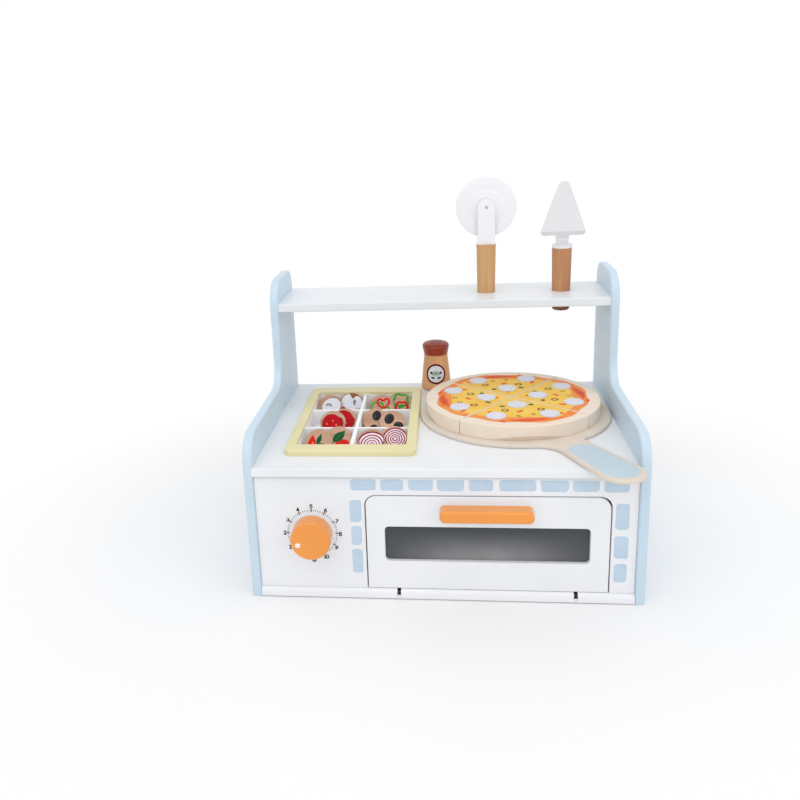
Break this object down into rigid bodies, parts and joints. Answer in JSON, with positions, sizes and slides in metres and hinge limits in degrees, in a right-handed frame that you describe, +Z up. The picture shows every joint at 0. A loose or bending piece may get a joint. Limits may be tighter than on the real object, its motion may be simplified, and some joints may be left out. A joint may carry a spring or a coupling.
{
  "type": "toy oven",
  "caption": "Tabletop play kitchen with a drop-down oven door, turning dial, topping tray, sliced pizza on a peel, shaker, roller cutter and slice server on a shelf",
  "frame": {"origin": "on the table, under the middle of the assembly's bounding box", "axes": "+X to the viewer's right as one faces the oven door, +Y away from the viewer towards the back panel, +Z up"},
  "size_m": [0.373, 0.2978, 0.382],
  "materials": {
    "blue_board": "satin pale blue paint",
    "white_board": "satin white paint",
    "raw_board": "unpainted fibreboard",
    "steel": "zinc-plated",
    "tinted_pane": "grey-tinted clear sheet",
    "orange_paint": "satin orange paint",
    "yellow_paint": "satin pale yellow paint",
    "disc_wood": "natural plywood with a printed picture and felt back",
    "crust_wood": "pale natural wood",
    "loop_pad": "woven loop tape",
    "shaker_wood": "natural wood, lacquered",
    "cap_wood": "red-brown lacquer",
    "pale_grip": "natural wood, lacquered",
    "red_grip": "warm natural wood, lacquered",
    "white_wood": "satin white paint on wood"
  },
  "bodies": {
    "cabinet": {"side_panel_left": "blue_board", "side_panel_right": "blue_board", "worktop": "white_board", "base_board": "white_board", "front_panel": "white_board", "back_panel": "white_board", "shelf": "white_board", "door_stops": "raw_board", "catch_magnet": "steel", "side_screws": "steel", "back_panel_screws": "steel", "hinge_pins": "steel", "hinge_pin_plates": "steel", "pin_plate_screws": "steel"},
    "door": {"door_panel": "white_board", "door_window": "tinted_pane", "door_handle": "orange_paint", "handle_screws": "steel", "window_screws": "steel", "hinge_tongues": "steel", "tongue_screws": "steel", "catch_plate": "steel", "catch_plate_screw": "steel"},
    "dial": {"dial_knob": "orange_paint", "knob_screw": "steel", "knob_washer": "steel"},
    "tray": {"tray_frame": "yellow_paint", "tray_box": "white_board", "tray_dividers": "white_board"},
    "mushroom_back": {"mushroom_disc_back": "disc_wood"},
    "mushroom_front": {"mushroom_disc_front": "disc_wood"},
    "pepper_back": {"pepper_disc_back": "disc_wood"},
    "pepper_front": {"pepper_disc_front": "disc_wood"},
    "salami_back": {"salami_disc_back": "disc_wood"},
    "salami_front": {"salami_disc_front": "disc_wood"},
    "olive_back": {"olive_disc_back": "disc_wood"},
    "olive_front": {"olive_disc_front": "disc_wood"},
    "tomato_back": {"tomato_disc_back": "disc_wood"},
    "tomato_front": {"tomato_disc_front": "disc_wood"},
    "onion_back": {"onion_disc_back": "disc_wood"},
    "onion_front": {"onion_disc_front": "disc_wood"},
    "peel": {"pizza_peel": "crust_wood"},
    "slice_back": {"pizza_slice_back": "crust_wood", "slice_pads_back": "loop_pad"},
    "slice_left": {"pizza_slice_left": "crust_wood", "slice_pads_left": "loop_pad"},
    "slice_front": {"pizza_slice_front": "crust_wood", "slice_pads_front": "loop_pad"},
    "slice_right": {"pizza_slice_right": "crust_wood", "slice_pads_right": "loop_pad"},
    "shaker": {"shaker_body": "shaker_wood", "shaker_cap": "cap_wood"},
    "cutter": {"cutter_handle": "pale_grip", "cutter_fork": "white_wood", "cutter_axle": "steel"},
    "cutter_wheel": {"cutter_wheel": "white_wood"},
    "server": {"server_handle": "red_grip", "server_blade": "white_wood"}
  },
  "joints": [
    {"name": "door_hinge", "type": "hinge", "parent": "cabinet", "child": "door", "pos_m": [0.041, -0.11261, 0.0055], "axis": [1, 0, 0], "range_deg": [0, 82]},
    {"name": "dial_turn", "type": "hinge", "parent": "cabinet", "child": "dial", "pos_m": [-0.1235, -0.11411, 0.0677], "axis": [0, 1, 0], "continuous": true},
    {"name": "tray_lift", "type": "slide", "parent": "cabinet", "child": "tray", "axis": [0, 0, 1], "range_m": [0, 0.04]},
    {"name": "mushroom_back_lift", "type": "slide", "parent": "tray", "child": "mushroom_back", "axis": [0, 0, 1], "range_m": [0, 0.026]},
    {"name": "mushroom_front_lift", "type": "slide", "parent": "mushroom_back", "child": "mushroom_front", "axis": [0, 0, 1], "range_m": [0, 0.026]},
    {"name": "pepper_back_lift", "type": "slide", "parent": "tray", "child": "pepper_back", "axis": [0, 0, 1], "range_m": [0, 0.026]},
    {"name": "pepper_front_lift", "type": "slide", "parent": "pepper_back", "child": "pepper_front", "axis": [0, 0, 1], "range_m": [0, 0.026]},
    {"name": "salami_back_lift", "type": "slide", "parent": "tray", "child": "salami_back", "axis": [0, 0, 1], "range_m": [0, 0.026]},
    {"name": "salami_front_lift", "type": "slide", "parent": "salami_back", "child": "salami_front", "axis": [0, 0, 1], "range_m": [0, 0.026]},
    {"name": "olive_back_lift", "type": "slide", "parent": "tray", "child": "olive_back", "axis": [0, 0, 1], "range_m": [0, 0.026]},
    {"name": "olive_front_lift", "type": "slide", "parent": "olive_back", "child": "olive_front", "axis": [0, 0, 1], "range_m": [0, 0.026]},
    {"name": "tomato_back_lift", "type": "slide", "parent": "tray", "child": "tomato_back", "axis": [0, 0, 1], "range_m": [0, 0.026]},
    {"name": "tomato_front_lift", "type": "slide", "parent": "tomato_back", "child": "tomato_front", "axis": [0, 0, 1], "range_m": [0, 0.026]},
    {"name": "onion_back_lift", "type": "slide", "parent": "tray", "child": "onion_back", "axis": [0, 0, 1], "range_m": [0, 0.026]},
    {"name": "onion_front_lift", "type": "slide", "parent": "onion_back", "child": "onion_front", "axis": [0, 0, 1], "range_m": [0, 0.026]},
    {"name": "peel_lift", "type": "slide", "parent": "cabinet", "child": "peel", "axis": [0, 0, 1], "range_m": [0, 0.04]},
    {"name": "slice_back_lift", "type": "slide", "parent": "peel", "child": "slice_back", "axis": [0, 0, 1], "range_m": [0, 0.03]},
    {"name": "slice_left_lift", "type": "slide", "parent": "peel", "child": "slice_left", "axis": [0, 0, 1], "range_m": [0, 0.03]},
    {"name": "slice_front_lift", "type": "slide", "parent": "peel", "child": "slice_front", "axis": [0, 0, 1], "range_m": [0, 0.03]},
    {"name": "slice_right_lift", "type": "slide", "parent": "peel", "child": "slice_right", "axis": [0, 0, 1], "range_m": [0, 0.03]},
    {"name": "shaker_lift", "type": "slide", "parent": "cabinet", "child": "shaker", "axis": [0, 0, 1], "range_m": [0, 0.045]},
    {"name": "cutter_lift", "type": "slide", "parent": "cabinet", "child": "cutter", "axis": [0, 0, 1], "range_m": [0, 0.03]},
    {"name": "wheel_spin", "type": "hinge", "parent": "cutter", "child": "cutter_wheel", "pos_m": [0.0505, 0.10289, 0.3495], "axis": [0, 1, 0], "continuous": true},
    {"name": "server_lift", "type": "slide", "parent": "cabinet", "child": "server", "axis": [0, 0, 1], "range_m": [0, 0.035]}
  ]
}
